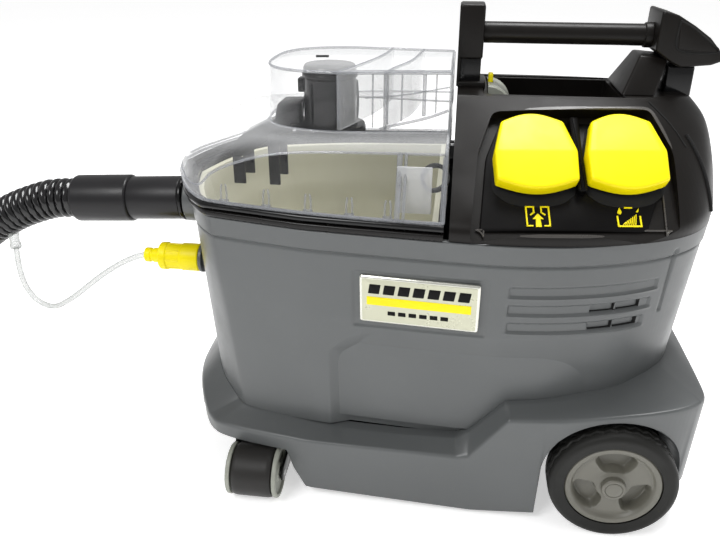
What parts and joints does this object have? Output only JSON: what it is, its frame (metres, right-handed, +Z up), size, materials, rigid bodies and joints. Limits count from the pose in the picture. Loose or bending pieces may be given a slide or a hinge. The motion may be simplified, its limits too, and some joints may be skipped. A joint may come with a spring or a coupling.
{
  "type": "spot extractor",
  "caption": "Compact carpet spot extractor: grey tank body, clear recovery lid, black cover with rocker switches and grip, wheels, casters, corrugated suction hose and spray tube.",
  "frame": {"origin": "centre of the machine's footprint on the floor, measured without the hose", "axes": "+X from the hose end to the handle end, +Y to the far side, +Z up"},
  "size_m": [1.26, 0.486, 0.441],
  "materials": {
    "body_grey": "fine grained satin",
    "cover_black": "grained satin",
    "gloss_black": "glossy",
    "seal_black": "soft",
    "lid_clear": "clear moulded plastic",
    "tank_cream": "translucent natural",
    "yellow": "bright satin",
    "badge": "satin",
    "tyre": "treaded rubber",
    "wheel_grey": "satin",
    "light_grey": "satin",
    "steel": "brushed",
    "motor": "cast",
    "hose": "glossy corrugated",
    "tube_clear": "clear flexible",
    "float_white": "satin"
  },
  "bodies": {
    "housing": {"tank_housing": "body_grey", "base_skirt": "body_grey", "base_pan": "cover_black", "pan_screws": "steel", "badge_plate": "badge", "vent_grille": "cover_black", "air_inlet_ring": "gloss_black", "inlet_collar": "body_grey", "spray_socket": "yellow", "motor_cover": "cover_black", "control_panel": "cover_black", "panel_divider": "cover_black", "panel_symbols": "yellow", "switch_bodies": "gloss_black", "handle_post": "cover_black", "grip_bar": "cover_black", "handle_cap": "cover_black", "handle_neck": "gloss_black", "handle_strut": "cover_black", "latch_housing": "light_grey", "vacuum_motor": "motor", "spray_pump": "motor", "spray_line": "tube_clear", "axle": "steel", "coupling_core": "yellow", "cuff_ring": "gloss_black", "cuff_socket": "cover_black", "cuff_sleeve": "cover_black", "suction_hose": "hose", "hose_coil": "hose", "hose_end_fitting": "cover_black", "spray_tube": "tube_clear", "tube_grommet": "tube_clear"},
    "container": {"recovery_container": "tank_cream", "container_rim": "gloss_black"},
    "lid": {"lid_seal": "seal_black", "clear_lid": "lid_clear", "baffle": "light_grey", "suction_dome": "gloss_black", "float_cage": "gloss_black", "suction_duct": "gloss_black"},
    "float": {"float_cup": "float_white"},
    "left_switch": {"left_switch_cap": "yellow"},
    "right_switch": {"right_switch_cap": "yellow"},
    "release": {"release_tab": "yellow"},
    "near_wheel": {"near_tyre": "tyre", "near_rim": "wheel_grey", "near_hub_cap": "wheel_grey"},
    "far_wheel": {"far_tyre": "tyre", "far_rim": "wheel_grey", "far_hub_cap": "wheel_grey"},
    "near_caster": {"near_fork": "gloss_black", "near_caster_axle": "steel"},
    "far_caster": {"far_fork": "gloss_black", "far_caster_axle": "steel"},
    "near_caster_wheel": {"near_tread": "tyre", "near_flanges": "light_grey"},
    "far_caster_wheel": {"far_tread": "tyre", "far_flanges": "light_grey"},
    "sleeve": {"coupling_sleeve": "yellow"}
  },
  "joints": [
    {"name": "container_lift", "type": "slide", "parent": "housing", "child": "container", "axis": [0, 0, 1], "range_m": [0, 0.16]},
    {"name": "lid_lift", "type": "slide", "parent": "container", "child": "lid", "axis": [0, 0, 1], "range_m": [0, 0.12]},
    {"name": "float_rise", "type": "slide", "parent": "lid", "child": "float", "axis": [0, 0, 1], "range_m": [0, 0.02]},
    {"name": "left_switch_rock", "type": "hinge", "parent": "housing", "child": "left_switch", "pos_m": [0.09059, -0.09484, 0.33085], "axis": [0.9925, 0.1219, 0], "range_deg": [-5, 5]},
    {"name": "right_switch_rock", "type": "hinge", "parent": "housing", "child": "right_switch", "pos_m": [0.16156, -0.08613, 0.33085], "axis": [0.9925, 0.1219, 0], "range_deg": [-5, 5]},
    {"name": "release_press", "type": "slide", "parent": "housing", "child": "release", "axis": [0, 0, 1], "range_m": [-0.003, 0], "stiffness_N_per_m": 400},
    {"name": "near_wheel_spin", "type": "hinge", "parent": "housing", "child": "near_wheel", "pos_m": [0.181, -0.15, 0.056], "axis": [0, 1, 0], "continuous": true},
    {"name": "far_wheel_spin", "type": "hinge", "parent": "housing", "child": "far_wheel", "pos_m": [0.181, 0.15, 0.056], "axis": [0, 1, 0], "continuous": true},
    {"name": "near_caster_swivel", "type": "hinge", "parent": "housing", "child": "near_caster", "pos_m": [-0.147, -0.127, 0.06], "axis": [0, 0, 1], "continuous": true},
    {"name": "far_caster_swivel", "type": "hinge", "parent": "housing", "child": "far_caster", "pos_m": [-0.147, 0.127, 0.06], "axis": [0, 0, 1], "continuous": true},
    {"name": "near_caster_spin", "type": "hinge", "parent": "near_caster", "child": "near_caster_wheel", "pos_m": [-0.147, -0.148, 0.025], "axis": [1, 0, 0], "continuous": true},
    {"name": "far_caster_spin", "type": "hinge", "parent": "far_caster", "child": "far_caster_wheel", "pos_m": [-0.147, 0.148, 0.025], "axis": [1, 0, 0], "continuous": true},
    {"name": "sleeve_release", "type": "slide", "parent": "housing", "child": "sleeve", "axis": [-1, 0, 0], "range_m": [0, 0.004], "stiffness_N_per_m": 600}
  ]
}
